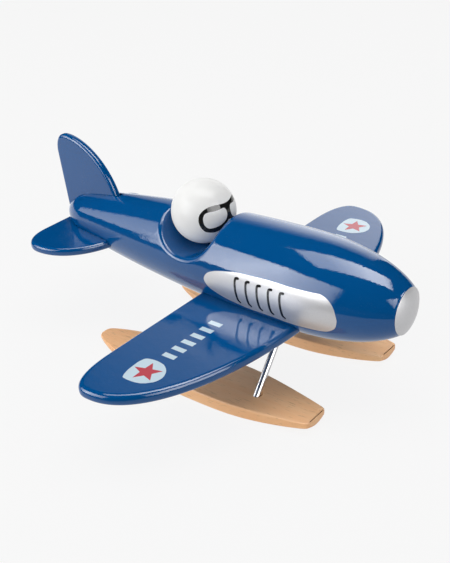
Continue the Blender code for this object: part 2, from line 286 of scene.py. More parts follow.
for row in SOFT_BOXES:
    add_soft_box(*row, True)
for row in FILL_BOXES:
    add_soft_box(*row, False)
make_world()
make_floor()
scene.view_settings.view_transform = "Standard"
print("soft boxes:", len(SOFT_BOXES))

# %% [markdown]
# Finishes come next, and what several finishes share is built once as a node group: the gentle
# wave that brushed lacquer keeps when it dries, and the fine dust and finger marks on a handled
# toy. Groups put out plain values, and each finish keeps its own shader. Patterns read Object
# coordinates, so they sit in the wood and don't slide when the camera moves.

# %% Shared effects as node groups
def start_group(name, inputs, outputs):
    """A shader node group with named sockets: (name, kind, default value)."""
    tree = bpy.data.node_groups.new(name, "ShaderNodeTree")
    for label, kind, value in inputs:
        socket = tree.interface.new_socket(label, in_out="INPUT", socket_type=kind)
        socket.default_value = value
    for label, kind in outputs:
        tree.interface.new_socket(label, in_out="OUTPUT", socket_type=kind)
    return tree, node(tree, "NodeGroupInput"), node(tree, "NodeGroupOutput")


def maths(tree, operation, a, b=0.0, c=0.0, clamp=False):
    made = node(tree, "ShaderNodeMath", {"operation": operation, "use_clamp": clamp})
    put(tree, made.inputs[0], a)
    put(tree, made.inputs[1], b)
    put(tree, made.inputs[2], c)
    return made.outputs[0]


def noise(tree, place, scale, detail=2.0, roughness=0.5):
    made = node(tree, "ShaderNodeTexNoise", Scale=scale, Detail=detail, Roughness=roughness)
    tree.links.new(place, made.inputs["Vector"])
    return made.outputs["Fac"]


def value_range(tree, value, low, high, to_low=0.0, to_high=1.0):
    made = node(tree, "ShaderNodeMapRange", {"clamp": True})
    for index, number in enumerate((value, low, high, to_low, to_high)):
        put(tree, made.inputs[index], number)
    return made.outputs[0]


def blend_colours(tree, factor, first, second):
    made = node(tree, "ShaderNodeMix", {"data_type": "RGBA"})
    put(tree, made.inputs["Factor"], factor)
    put(tree, made.inputs["A"], first)
    put(tree, made.inputs["B"], second)
    return made.outputs["Result"]


FLOAT = "NodeSocketFloat"
VECTOR = "NodeSocketVector"
COLOUR = "NodeSocketColor"


def lacquer_wave_group():
    tree, given, out = start_group(
        "lacquer_wave",
        (("Place", VECTOR, (0.0, 0.0, 0.0)), ("Wide scale", FLOAT, 150.0), ("Fine scale", FLOAT, 900.0),
         ("Fine share", FLOAT, 0.50)),
        (("Height", FLOAT),))
    place = given.outputs["Place"]
    wide = noise(tree, place, given.outputs["Wide scale"], 1.5)
    fine = noise(tree, place, given.outputs["Fine scale"], 2.0)
    share = maths(tree, "MULTIPLY", fine, given.outputs["Fine share"])
    tree.links.new(maths(tree, "ADD", wide, share), out.inputs["Height"])
    return tree


def handling_group():
    """Faint dust and rubbed places: a mask for colour and a value for roughness."""
    tree, given, out = start_group(
        "handling",
        (("Place", VECTOR, (0.0, 0.0, 0.0)), ("Base roughness", FLOAT, 0.1), ("Smear", FLOAT, 0.05)),
        (("Dust", FLOAT), ("Roughness", FLOAT)))
    place = given.outputs["Place"]
    clouds = value_range(tree, noise(tree, place, 38.0, 4.0, 0.6), 0.42, 0.70)
    specks = value_range(tree, noise(tree, place, 2600.0, 1.0), 0.66, 0.74)
    tree.links.new(maths(tree, "MULTIPLY", clouds, specks), out.inputs["Dust"])
    rub = maths(tree, "MULTIPLY", clouds, given.outputs["Smear"])
    tree.links.new(maths(tree, "ADD", given.outputs["Base roughness"], rub), out.inputs["Roughness"])
    return tree


LACQUER_WAVE = lacquer_wave_group()
HANDLING = handling_group()


def use_group(tree, group, **inputs):
    made = node(tree, "ShaderNodeGroup", {"node_tree": group})
    for key, value in inputs.items():
        put(tree, made.inputs[key.replace("_", " ")], value)
    return made


def start_finish(name):
    material = bpy.data.materials.new(name)
    material.use_nodes = True
    tree = material.node_tree
    shader = tree.nodes["Principled BSDF"]
    place = node(tree, "ShaderNodeTexCoord").outputs["Object"]
    return material, tree, shader, place


def raise_bump(tree, shader, height, distance, strength=1.0):
    bump = node(tree, "ShaderNodeBump", Height=height, Distance=distance, Strength=strength)
    tree.links.new(bump.outputs["Normal"], shader.inputs["Normal"])
    return bump.outputs["Normal"]


print("groups:", LACQUER_WAVE.name, HANDLING.name)

# %% [markdown]
# The body and boards wear several coats of deep blue lacquer. The colour is nearly black where
# nothing is mirrored, so the base is dark and the clear coat does the rest. A wave of a few
# hundredths of a millimetre breaks the edges of the mirrored lamps, as brushed lacquer does.

# %% Lacquer finishes
def lacquer(name, colour, dust_colour, wave_height, wide=150.0, roughness=0.06, gloss=1.0):
    material, tree, shader, place = start_finish(name)
    wave = use_group(tree, LACQUER_WAVE, Place=place, Wide_scale=wide)
    hands = use_group(tree, HANDLING, Place=place, Base_roughness=roughness, Smear=0.05)
    tone = value_range(tree, noise(tree, place, 30.0, 3.0), 0.3, 0.7, 0.0, 0.12)
    lighter = tuple(min(1.0, channel * 1.25 + 0.004) for channel in colour[:3]) + (1.0,)
    tinted = blend_colours(tree, tone, colour, lighter)
    dust = maths(tree, "MULTIPLY", hands.outputs["Dust"], 0.25)
    put(tree, shader.inputs["Base Color"], blend_colours(tree, dust, tinted, dust_colour))
    put(tree, shader.inputs["Roughness"], hands.outputs["Roughness"])
    shader.inputs["Coat Weight"].default_value = gloss
    shader.inputs["Coat Roughness"].default_value = 0.03 if gloss == 1.0 else 0.14
    shader.inputs["Coat IOR"].default_value = 1.5
    shader.inputs["Specular IOR Level"].default_value = 0.0
    normal = raise_bump(tree, shader, wave.outputs["Height"], wave_height * MM)
    tree.links.new(normal, shader.inputs["Coat Normal"])
    return material


BLUE = lacquer("blue_lacquer", (0.0005, 0.0760, 0.2550, 1.0), (0.30, 0.36, 0.42, 1.0), 0.06, 190.0)
WHITE = lacquer("white_lacquer", (0.86, 0.86, 0.85, 1.0), (0.60, 0.59, 0.57, 1.0), 0.020, gloss=0.2)
BLACK_INK = lacquer("black_print", (0.012, 0.012, 0.012, 1.0), (0.20, 0.20, 0.20, 1.0), 0.015)
WHITE_INK = lacquer("white_print", (0.56, 0.70, 0.79, 1.0), (0.45, 0.50, 0.55, 1.0), 0.020)
RED_INK = lacquer("red_print", (0.50, 0.050, 0.075, 1.0), (0.50, 0.25, 0.25, 1.0), 0.020)
print("lacquers:", BLUE.name, WHITE.name, BLACK_INK.name, WHITE_INK.name, RED_INK.name)

# %% [markdown]
# The nose and the side panels are silver paint. Such paint isn't a mirror: fine flakes of metal
# lie almost flat in a clear film, so it is bright, a little grainy and only softly glossy.

# %% Silver paint
def silver_paint():
    material, tree, shader, place = start_finish("silver_paint")
    flakes = node(tree, "ShaderNodeTexVoronoi", Scale=2600.0)
    tree.links.new(place, flakes.inputs["Vector"])
    sparkle = value_range(tree, flakes.outputs["Distance"], 0.0, 1.0, 0.0, 1.0)
    hands = use_group(tree, HANDLING, Place=place, Base_roughness=0.34, Smear=0.10)
    colour = blend_colours(tree, sparkle, (0.66, 0.66, 0.67, 1.0), (0.58, 0.58, 0.60, 1.0))
    put(tree, shader.inputs["Base Color"], colour)
    put(tree, shader.inputs["Roughness"], hands.outputs["Roughness"])
    shader.inputs["Metallic"].default_value = 0.55
    shader.inputs["Coat Weight"].default_value = 0.35
    shader.inputs["Coat Roughness"].default_value = 0.12
    wave = use_group(tree, LACQUER_WAVE, Place=place)
    height = maths(tree, "ADD", wave.outputs["Height"], maths(tree, "MULTIPLY", sparkle, 0.05))
    raise_bump(tree, shader, height, 0.03 * MM)
    return material


SILVER = silver_paint()
print("paint:", SILVER.name)

# %% [markdown]
# The floats are plain beech under a thin clear varnish. Beech has a fine straight grain with
# short dark flecks, the rays, lying along it. The grain is stretched noise along the float's
# length, and the flecks are small cells stretched the same way.

# %% Beech
def beech_grain_group():
    tree, given, out = start_group(
        "beech_grain", (("Place", VECTOR, (0.0, 0.0, 0.0)), ("Ring scale", FLOAT, 190.0)),
        (("Tone", FLOAT), ("Fleck", FLOAT), ("Height", FLOAT)))
    place = given.outputs["Place"]
    long_way = node(tree, "ShaderNodeMapping", Vector=place, Scale=(0.05, 1.0, 0.55))
    bend = node(tree, "ShaderNodeMapping", Vector=place, Scale=(0.22, 1.0, 1.0))
    rings = noise(tree, long_way.outputs[0], given.outputs["Ring scale"], 4.0, 0.55)
    broad = noise(tree, bend.outputs[0], 32.0, 2.0)
    tone = maths(tree, "ADD", maths(tree, "MULTIPLY", rings, 0.65), maths(tree, "MULTIPLY", broad, 0.35))
    tree.links.new(value_range(tree, tone, 0.34, 0.66), out.inputs["Tone"])
    fleck_way = node(tree, "ShaderNodeMapping", Vector=place, Scale=(0.13, 1.0, 1.0))
    fleck = value_range(tree, noise(tree, fleck_way.outputs[0], 1500.0, 1.0), 0.63, 0.74)
    tree.links.new(fleck, out.inputs["Fleck"])
    pores = noise(tree, long_way.outputs[0], 2600.0, 2.0)
    tree.links.new(maths(tree, "SUBTRACT", pores, maths(tree, "MULTIPLY", fleck, 0.4)), out.inputs["Height"])
    return tree


BEECH_GRAIN = beech_grain_group()


def beech():
    material, tree, shader, place = start_finish("beech")
    grain = use_group(tree, BEECH_GRAIN, Place=place)
    hands = use_group(tree, HANDLING, Place=place, Base_roughness=0.42, Smear=0.10)
    base = blend_colours(tree, grain.outputs["Tone"], (0.92, 0.48, 0.220, 1.0), (0.97, 0.58, 0.300, 1.0))
    flecked = blend_colours(tree, maths(tree, "MULTIPLY", grain.outputs["Fleck"], 0.45), base,
                            (0.50, 0.26, 0.13, 1.0))
    dusty = blend_colours(tree, maths(tree, "MULTIPLY", hands.outputs["Dust"], 0.15), flecked,
                          (0.80, 0.66, 0.52, 1.0))
    put(tree, shader.inputs["Base Color"], dusty)
    put(tree, shader.inputs["Roughness"], hands.outputs["Roughness"])
    shader.inputs["Specular IOR Level"].default_value = 0.4
    raise_bump(tree, shader, grain.outputs["Height"], 0.05 * MM)
    return material


BEECH = beech()
print("wood:", BEECH.name)

# %% [markdown]
# The rods are drawn steel, polished once and a little dulled since. Drawing leaves fine lines
# along the rod, so the noise for the bump is stretched along Z.

# %% Steel
def steel():
    material, tree, shader, place = start_finish("steel")
    draw_way = node(tree, "ShaderNodeMapping", Vector=place, Scale=(1.0, 1.0, 0.03))
    lines = noise(tree, draw_way.outputs[0], 3000.0, 2.0)
    hands = use_group(tree, HANDLING, Place=place, Base_roughness=0.16, Smear=0.12)
    put(tree, shader.inputs["Roughness"], hands.outputs["Roughness"])
    tarnish = value_range(tree, noise(tree, place, 120.0, 3.0), 0.35, 0.75)
    colour = blend_colours(tree, tarnish, (0.66, 0.66, 0.67, 1.0), (0.50, 0.50, 0.51, 1.0))
    put(tree, shader.inputs["Base Color"], colour)
    shader.inputs["Metallic"].default_value = 1.0
    raise_bump(tree, shader, lines, 0.01 * MM)
    return material


STEEL = steel()
print("metal:", STEEL.name)

# %% [markdown]
# Now the helpers for shapes. Each one takes plain lists of points, because a toy like this is a
# few outlines given a thickness. dress() says what a piece is to the frame: what it rides on,
# and which imported nodes it stands for, which it hides.

# %% Helpers for shapes
def make_piece(name, points, faces, material=None, sharp_angle=35.0):
    """A mesh object from points in millimetres, with its faces turned outwards."""
    mesh = bpy.data.meshes.new(name)
    mesh.from_pydata((np.asarray(points, float) * MM).tolist(), [], faces)
    data = bmesh.new()
    data.from_mesh(mesh)
    bmesh.ops.recalc_face_normals(data, faces=data.faces)
    data.to_mesh(mesh)
    data.free()
    piece = bpy.data.objects.new(name, mesh)
    scene.collection.objects.link(piece)
    return finish_surface(piece, material, sharp_angle)


def finish_surface(piece, material, sharp_angle=35.0):
    piece.data.materials.clear()
    if material:
        piece.data.materials.append(material)
    piece.data.shade_smooth()
    piece.data.set_sharp_from_angle(angle=math.radians(sharp_angle))
    return piece


def dress(piece, slot, *nodes):
    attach(piece, "root")
    if nodes:
        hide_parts(*nodes)
    piece.data.calc_loop_triangles()
    print(piece.name, "triangles:", len(piece.data.loop_triangles))


def bridge(ring_count, points_per_ring, first=0):
    """Four-sided faces between closed rings that follow each other."""
    faces = []
    for ring in range(ring_count - 1):
        start = first + ring * points_per_ring
        for i in range(points_per_ring):
            j = (i + 1) % points_per_ring
            faces.append((start + i, start + j, start + points_per_ring + j, start + points_per_ring + i))
    return faces


def carve(piece, cutters, material, sharp_angle=35.0):
    """Cuts the cutters away from a piece and keeps the result as its plain mesh."""
    for cutter in cutters:
        modifier = piece.modifiers.new(cutter.name, "BOOLEAN")
        modifier.operation = "DIFFERENCE"
        modifier.solver = "EXACT"
        modifier.object = cutter
    seen = bpy.context.evaluated_depsgraph_get()
    shape = bpy.data.meshes.new_from_object(piece.evaluated_get(seen))
    piece.modifiers.clear()
    piece.data = shape
    for cutter in cutters:
        bpy.data.objects.remove(cutter, do_unlink=True)
    return finish_surface(piece, material, sharp_angle)


def round_rod(name, start, end, radius, segments=64, chamfer=0.0, material=None):
    """A round rod between two points, with a small chamfer at both ends."""
    start, end = Vector(start), Vector(end)
    run = (end - start).normalized()
    side = run.orthogonal().normalized()
    other = run.cross(side)
    stations = [(0.0, radius - chamfer), (chamfer, radius),
                ((end - start).length - chamfer, radius), ((end - start).length, radius - chamfer)]
    if not chamfer:
        stations = [stations[0], stations[-1]]
    points = []
    for along, reach in stations:
        for i in range(segments):
            turn = 2.0 * math.pi * i / segments
            points.append(start + run * along + (side * math.cos(turn) + other * math.sin(turn)) * reach)
    last = (len(stations) - 1) * segments
    faces = bridge(len(stations), segments)
    faces.append(tuple(range(segments)))
    faces.append(tuple(range(last, last + segments)))
    return make_piece(name, [tuple(point) for point in points], faces, material)


print("helpers ready")

# %% [markdown]
# The body is turned, so one radius for each place along it would do. The cut for the pilot and
# the planed belly change that. A Boolean leaves a knife edge, but the real rim is sanded round.
# So the skin is found as the place where three simple rules meet: outside the turned shape,
# inside the round cut, below the plane. A smooth maximum rounds the edges between them.

# %% Sizes of the body
JOINT_GAP = 0.12
body_low, body_high = box_mm("fuselage")
TAIL_END_X = body_low[0]
CAP_JOINT_X = body_high[0]
BELLY_Z = body_low[2]
BODY_RADIUS = body_high[1]
BODY_AXIS_Z = body_high[2] - BODY_RADIUS
BODY_WIDEST_X = 57.7
NOSE_CURVE_END_X = 120.9
TAIL_SHOULDER_X = -92.5
TAIL_RADIUS = 14.2
head_low, head_high = box_mm("pilot_head")
HEAD_CENTRE = (head_low + head_high) / 2
HEAD_RADIUS = (head_high[0] - head_low[0]) / 2
COCKPIT_X = -7.6
COCKPIT_RADIUS = 19.5
COCKPIT_AXIS_Z = 62.8 + COCKPIT_RADIUS
RIM_ROUNDING = 2.4
BELLY_ROUNDING = 0.7
NOSE_END_ROUNDING = 0.35
SKIN_SEGMENTS = 256


def body_radius(x):
    """Radius of the turned body: a dome at the tail, a long swelling curve, an elliptic nose."""
    x = np.asarray(x, float)
    along_nose = (x - BODY_WIDEST_X) / (NOSE_CURVE_END_X - BODY_WIDEST_X)
    nose = BODY_RADIUS * np.sqrt(np.clip(1.0 - along_nose ** 2, 0.0, 1.0))
    along_rear = (BODY_WIDEST_X - x) / (BODY_WIDEST_X - TAIL_SHOULDER_X)
    rear = BODY_RADIUS - (BODY_RADIUS - TAIL_RADIUS) * along_rear ** 2
    along_tail = np.clip((TAIL_SHOULDER_X - x) / (TAIL_SHOULDER_X - TAIL_END_X), 0.0, 1.0)
    rear = rear * np.sqrt(np.clip(1.0 - along_tail ** 2, 0.0, 1.0))
    return np.where(x >= BODY_WIDEST_X, nose, rear)


def smooth_maximum(first, second, width):
    overlap = np.clip(width - np.abs(first - second), 0.0, None) / width
    return np.maximum(first, second) + overlap ** 2 * width / 4.0


def skin_reach(x, turn, foot, radius):
    """How far the body's skin lies from its inner line, for each station and turn."""
    low = np.zeros((len(x), len(turn)))
    high = np.full_like(low, 2.2 * BODY_RADIUS)
    for step in range(34):
        reach = (low + high) / 2.0
        y = reach * np.cos(turn)
        z = foot[:, None] + reach * np.sin(turn)
        outside = np.hypot(y, z - BODY_AXIS_Z) - radius[:, None]
        in_cut = COCKPIT_RADIUS - np.hypot(x[:, None] - COCKPIT_X, z - COCKPIT_AXIS_Z)
        outside = smooth_maximum(outside, in_cut, RIM_ROUNDING)
        outside = smooth_maximum(outside, BELLY_Z - z, BELLY_ROUNDING)
        low = np.where(outside < 0.0, reach, low)
        high = np.where(outside < 0.0, high, reach)
    return (low + high) / 2.0


def body_stations():
    dome = TAIL_SHOULDER_X - (TAIL_SHOULDER_X - TAIL_END_X) * np.sin(
        np.linspace(math.pi / 2, 0.0, 27)[1:])
    rim_back = COCKPIT_X - COCKPIT_RADIUS
    rim_front = COCKPIT_X + COCKPIT_RADIUS
    rear = np.linspace(TAIL_SHOULDER_X, rim_back - 1.6, 44)[1:]
    rise = np.linspace(rim_back - 1.6, rim_back, 13)[1:-1]
    cut = COCKPIT_X - COCKPIT_RADIUS * np.cos(np.linspace(0.0, math.pi, 91))
    fall = np.linspace(rim_front, rim_front + 1.6, 13)[1:-1]
    middle = np.linspace(rim_front + 1.6, BODY_WIDEST_X, 30)
    nose_length = NOSE_CURVE_END_X - BODY_WIDEST_X
    joint_turn = math.asin((CAP_JOINT_X - NOSE_END_ROUNDING - BODY_WIDEST_X) / nose_length)
    nose = BODY_WIDEST_X + nose_length * np.sin(np.linspace(0.0, joint_turn, 46)[1:])
    return np.concatenate([dome, rear, rise, cut, fall, middle, nose])


def make_body():
    x = body_stations()
    radius = body_radius(x)
    foot = BODY_AXIS_Z - 0.4 * radius
    turn = np.linspace(0.0, 2.0 * math.pi, SKIN_SEGMENTS, endpoint=False)
    reach = skin_reach(x, turn, foot, radius)
    skin = np.stack([np.repeat(x[:, None], SKIN_SEGMENTS, 1), reach * np.cos(turn),
                     foot[:, None] + reach * np.sin(turn)], -1)
    rings = [ring for ring in skin]
    last = rings[-1]
    centre = np.array([CAP_JOINT_X, 0.0, BODY_AXIS_Z])
    outward = last - centre
    outward[:, 0] = 0.0
    outward /= np.linalg.norm(outward, axis=1)[:, None]
    for angle in np.linspace(0.0, math.pi / 2, 5)[1:]:
        ring = last - outward * NOSE_END_ROUNDING * (1.0 - math.cos(angle))
        ring[:, 0] = CAP_JOINT_X - NOSE_END_ROUNDING * (1.0 - math.sin(angle))
        rings.append(ring)
    points = np.concatenate(rings)
    faces = bridge(len(rings), SKIN_SEGMENTS)
    tail_tip = len(points)
    faces += [(i, (i + 1) % SKIN_SEGMENTS, tail_tip) for i in range(SKIN_SEGMENTS)]
    faces.append(tuple(range(tail_tip - SKIN_SEGMENTS, tail_tip)))
    points = np.concatenate([points, [[TAIL_END_X, 0.0, BODY_AXIS_Z]]])
    return make_piece("fuselage_turned", points, faces, BLUE)


body = make_body()
print("body from x", round(TAIL_END_X, 1), "to", round(CAP_JOINT_X, 1), "radius", round(BODY_RADIUS, 1))

# %% [markdown]
# Wing, tailplane and fin are boards: an outline from one rule, a straight back edge and a full
# curved front, and a rounded edge all round. The same function draws all three. One extra ring
# just inside each flat keeps the flat truly flat in the shading.

# %% Boards
wing_low, wing_high = box_mm("wing")
tail_low, tail_high = box_mm("tailplane")
fin_low, fin_high = box_mm("fin")
WING = {"back": wing_low[0], "front": wing_high[0], "tip": 15.5, "corner": 89.0,
        "reach": wing_high[1], "back_power": 2.4, "front_power": 2.2}
WING_EDGE_RADIUS = 2.4
TAILPLANE = {"back": tail_low[0], "front": tail_high[0], "tip": -97.5, "corner": 24.5,
             "reach": tail_high[1], "back_power": 2.2, "front_power": 2.1}
TAIL_EDGE_RADIUS = 2.0
FIN_ROOT_Z = 61.9
FIN_ROOT_BACK_X = -112.8
FIN = {"back": fin_low[0], "front": fin_high[0], "tip": -109.1, "corner": 32.7,
       "reach": fin_high[2] - FIN_ROOT_Z, "back_power": 2.4, "front_power": 1.8}
HOLD = 0.4


def leaf_curve(shape, back_steps, front_steps):
    """Half of a board's outline, from its straight back edge round the tip to its front edge."""
    turn = np.linspace(0.0, math.pi / 2, back_steps, endpoint=False)
    power = 2.0 / shape["back_power"]
    back = np.stack([shape["tip"] - (shape["tip"] - shape["back"]) * np.cos(turn) ** power,
                     shape["corner"] + (shape["reach"] - shape["corner"]) * np.sin(turn) ** power], 1)
    turn = np.linspace(math.pi / 2, 0.0, front_steps, endpoint=False)
    power = 2.0 / shape["front_power"]
    front = np.stack([shape["tip"] + (shape["front"] - shape["tip"]) * np.cos(turn) ** power,
                      shape["reach"] * np.sin(turn) ** power], 1)
    return np.concatenate([back, front])


def mirrored_outline(shape, back_steps=24, front_steps=90):
    half = leaf_curve(shape, back_steps, front_steps)
    return np.concatenate([half, [[shape["front"], 0.0]], half[::-1] * (1.0, -1.0)])


def grown(outline, distance):
    """Moves an outline outwards, or inwards where the distance is negative."""
    before = outline - np.roll(outline, 1, 0)
    after = np.roll(outline, -1, 0) - outline
    before /= np.linalg.norm(before, axis=1)[:, None]
    after /= np.linalg.norm(after, axis=1)[:, None]
    x, y = outline[:, 0], outline[:, 1]
    area = np.sum(x * np.roll(y, -1) - np.roll(x, -1) * y)
    outward = 1.0 if area > 0.0 else -1.0
    normal = np.stack([before[:, 1] + after[:, 1], -before[:, 0] - after[:, 0]], 1) * outward
    normal /= np.linalg.norm(normal, axis=1)[:, None]
    flat = np.stack([after[:, 1], -after[:, 0]], 1) * outward
    stretch = np.maximum(0.5, np.sum(normal * flat, axis=1))
    return outline + normal * (distance / stretch)[:, None]


def edge_rows(low, high, radius, steps=7, hold=HOLD):
    """Rows of (inset, height) up a board's edge, with a round at both corners."""
    angles = np.linspace(0.0, math.pi / 2, steps + 1)
    rows = [(radius + hold, low)]
    rows += [(radius * (1.0 - math.sin(a)), low + radius * (1.0 - math.cos(a))) for a in angles]
    rows += [(radius * (1.0 - math.cos(a)), high - radius * (1.0 - math.sin(a))) for a in angles]
    rows.append((radius + hold, high))
    return rows


def make_board(name, outline, rows, material=None, upright=False):
    rings = []
    for inset, height in rows:
        ring = grown(outline, -inset)
        level = np.full(len(ring), height)
        columns = (ring[:, 0], level, ring[:, 1]) if upright else (ring[:, 0], ring[:, 1], level)
        rings.append(np.stack(columns, 1))
    count = len(outline)
    faces = bridge(len(rings), count)
    faces.append(tuple(range(count)))
    last = (len(rings) - 1) * count
    faces.append(tuple(range(last, last + count)))
    return make_piece(name, np.concatenate(rings), faces, material)


wing_outline = mirrored_outline(WING)
wing = make_board("wing_board", wing_outline, edge_rows(BELLY_Z, wing_high[2], WING_EDGE_RADIUS), BLUE)
tail_outline = mirrored_outline(TAILPLANE)
tailplane = make_board("tailplane_board", tail_outline,
                       edge_rows(tail_low[2], tail_high[2], TAIL_EDGE_RADIUS), BLUE)
upper = leaf_curve(FIN, 20, 80) + (0.0, FIN_ROOT_Z)
fin_outline = np.concatenate([upper, [[FIN["front"], FIN_ROOT_Z], [FIN["front"], fin_low[2]],
                                      [FIN_ROOT_BACK_X, fin_low[2]]]])
fin = make_board("fin_board", fin_outline, edge_rows(fin_low[1], fin_high[1], TAIL_EDGE_RADIUS),
                 BLUE, upright=True)
print("wing", round(2 * WING["reach"], 1), "mm across, board", round(wing_high[2] - BELLY_Z, 1), "mm")

# %% [markdown]
# The rods lean inwards from the floats to the belly. A bore a little wider than the rod shows
# as a dark half moon at its foot, so the bores are cut for real. The same rods, a touch
# thicker, are the cutters for the wing and the body.

# %% Rods
ROD_RADIUS = 1.8
ROD_STATIONS = (("front", 51.3), ("rear", 14.7))
SIDES = (("left", 1.0), ("right", -1.0))
FLOAT_TOP_Z = box_mm("float_left")[1][2]
ROD_FOOT_Y = 37.3
ROD_TOP_Y = 12.0
ROD_SINK_IN_FLOAT = 4.5
ROD_SINK_IN_BODY = 9.0
FLOAT_BORE_RADIUS = 2.3
FLOAT_BORE_OFFSET = (0.45, -0.35)


def rod_point(x, side, z, out=0.0):
    rise = (z - FLOAT_TOP_Z) / (BELLY_Z - FLOAT_TOP_Z)
    return (x, side * (ROD_FOOT_Y + out + (ROD_TOP_Y - ROD_FOOT_Y) * rise), z)


def rod_between(name, x, side, low, high, radius, material=None, chamfer=0.0, out=0.0):
    return round_rod(name, rod_point(x, side, low, out), rod_point(x, side, high, out), radius,
                     chamfer=chamfer, material=material)


ROD_LOW = FLOAT_TOP_Z - ROD_SINK_IN_FLOAT
ROD_HIGH = BELLY_Z + ROD_SINK_IN_BODY
for place, x in ROD_STATIONS:
    for side_name, side in SIDES:
        rod = rod_between("rod_" + place + "_" + side_name, x, side, ROD_LOW, ROD_HIGH, ROD_RADIUS,
                          STEEL, 0.25)
        dress(rod, "steel", "strut_" + place + "_" + side_name)


def rod_cutters(tag, growth=JOINT_GAP):
    return [rod_between("cut_" + tag + place + side_name, x, side, ROD_LOW - growth, ROD_HIGH + growth,
                        ROD_RADIUS + growth)
            for place, x in ROD_STATIONS for side_name, side in SIDES]


# %% [markdown]
# With the boards and rods there, the body gets its slots. Each slot is the board's own outline
# grown by a hair, so the joint shows as a fine dark line, as a glued joint does.

# %% Slots in the body and the wing
notch = make_board("cut_wing_notch", grown(wing_outline, JOINT_GAP),
                   edge_rows(BELLY_Z - 10.0, wing_high[2] + JOINT_GAP, WING_EDGE_RADIUS))
longer_tail = dict(TAILPLANE, back=TAILPLANE["back"] - 10.0)
tail_slot = make_board("cut_tail_slot", grown(mirrored_outline(longer_tail), JOINT_GAP),
                       edge_rows(tail_low[2] - JOINT_GAP, tail_high[2] + JOINT_GAP, TAIL_EDGE_RADIUS))
slot_back, slot_front = TAIL_END_X - 10.0, FIN["front"] + JOINT_GAP
slot_foot, slot_top = fin_low[2] - JOINT_GAP, fin_high[2]
fin_slot_points = [(x, y, z) for x in (slot_back, slot_front)
                   for y in (fin_low[1] - JOINT_GAP, fin_high[1] + JOINT_GAP)
                   for z in (slot_foot, slot_top)]
fin_slot = make_piece("cut_fin_slot", fin_slot_points,
                      [(0, 1, 3, 2), (4, 5, 7, 6), (0, 1, 5, 4), (2, 3, 7, 6), (0, 2, 6, 4), (1, 3, 7, 5)])
carve(body, [notch, tail_slot, fin_slot] + rod_cutters("body_"), BLUE, 32.0)
carve(wing, rod_cutters("wing_"), BLUE)
dress(body, "blue_lacquer", "fuselage")
dress(wing, "blue_lacquer", "wing")
dress(tailplane, "blue_lacquer", "tailplane")
dress(fin, "blue_lacquer", "fin")

# %% [markdown]
# The nose ends in a shallow silver dome, part of a sphere on the flat end of the body. The
# pilot is a plain turned ball that rests in the round cut. Both are drawn with many small
# faces, because their outline is all there is to see.

# %% Nose cap and ball
NOSE_TIP_X = box_mm("nose_cap")[1][0]
CAP_FOOT_X = CAP_JOINT_X + JOINT_GAP
CAP_RADIUS = float(body_radius(CAP_JOINT_X - NOSE_END_ROUNDING)) - 0.05


def make_nose_cap():
    height = NOSE_TIP_X - CAP_FOOT_X
    sphere = (CAP_RADIUS ** 2 + height ** 2) / (2.0 * height)
    half_angle = math.asin(CAP_RADIUS / sphere)
    segments = 160
    steps = 26
    turn = np.linspace(0.0, 2.0 * math.pi, segments, endpoint=False)
    points = []
    for i in range(steps):
        angle = half_angle * (1.0 - i / steps)
        x = NOSE_TIP_X - sphere * (1.0 - math.cos(angle))
        ring = sphere * math.sin(angle)
        points.append(np.stack([np.full(segments, x), ring * np.cos(turn),
                                BODY_AXIS_Z + ring * np.sin(turn)], 1))
    points.append(np.array([[NOSE_TIP_X, 0.0, BODY_AXIS_Z]]))
    tip = steps * segments
    last = tip - segments
    faces = bridge(steps, segments)
    faces += [(last + i, last + (i + 1) % segments, tip) for i in range(segments)]
    faces.append(tuple(range(segments)))
    return make_piece("nose_dome", np.concatenate(points), faces, SILVER)


def make_ball():
    data = bmesh.new()
    bmesh.ops.create_uvsphere(data, u_segments=160, v_segments=96, radius=HEAD_RADIUS)
    points = [tuple(np.array(vert.co) + HEAD_CENTRE) for vert in data.verts]
    faces = [tuple(vert.index for vert in face.verts) for face in data.faces]
    data.free()
    return make_piece("pilot_ball", points, faces, WHITE)


dress(make_nose_cap(), "silver_paint", "nose_cap")
dress(make_ball(), "white_lacquer", "pilot_head")

# %% [markdown]
# Each float is a beech board, blunt in front and round behind, whose underside rises at both
# ends. It is drawn as sections along its length, read from a smooth curve through a short
# table, and every long edge is eased with a small round, as sandpaper leaves it.

# %% Floats
FLOAT_Y = 35.8
FLOAT_EDGE = 0.9
# columns: x, half width, underside in the middle, how much higher the underside is at its edges
FLOAT_SECTIONS = (
    (-58.0, 2.4, 5.2, 0.0),
    (-57.1, 4.2, 5.1, 0.0),
    (-55.0, 5.7, 4.9, 0.0),
    (-51.0, 7.6, 4.3, 0.0),
    (-43.0, 10.5, 3.1, 0.0),
    (-33.5, 13.1, 1.7, 0.0),
    (-23.5, 15.0, 0.6, 0.0),
    (-13.0, 16.2, 0.0, 0.0),
    (6.5, 17.1, 0.0, 0.0),
    (28.5, 17.1, 0.0, 0.0),
    (44.5, 16.2, 0.0, 0.1),
    (58.5, 14.1, 0.2, 0.4),
    (71.5, 11.6, 0.9, 0.8),
    (81.0, 9.5, 1.7, 1.2),
    (85.2, 8.3, 2.2, 1.4),
    (86.5, 6.8, 2.5, 1.4),
)


def smooth_rows(table, steps):
    """Rows read from a smooth curve through a table's rows, with its own rows kept."""
    table = np.asarray(table, float)
    last = len(table) - 1
    rows = []
    for i in range(last):
        a, b, c, d = table[max(i - 1, 0)], table[i], table[i + 1], table[min(i + 2, last)]
        for t in np.arange(steps) / steps:
            bend = (2 * a - 5 * b + 4 * c - d) * t ** 2 + (3 * b - a - 3 * c + d) * t ** 3
            rows.append(b + 0.5 * ((c - a) * t + bend))
    rows.append(table[last])
    return np.array(rows)


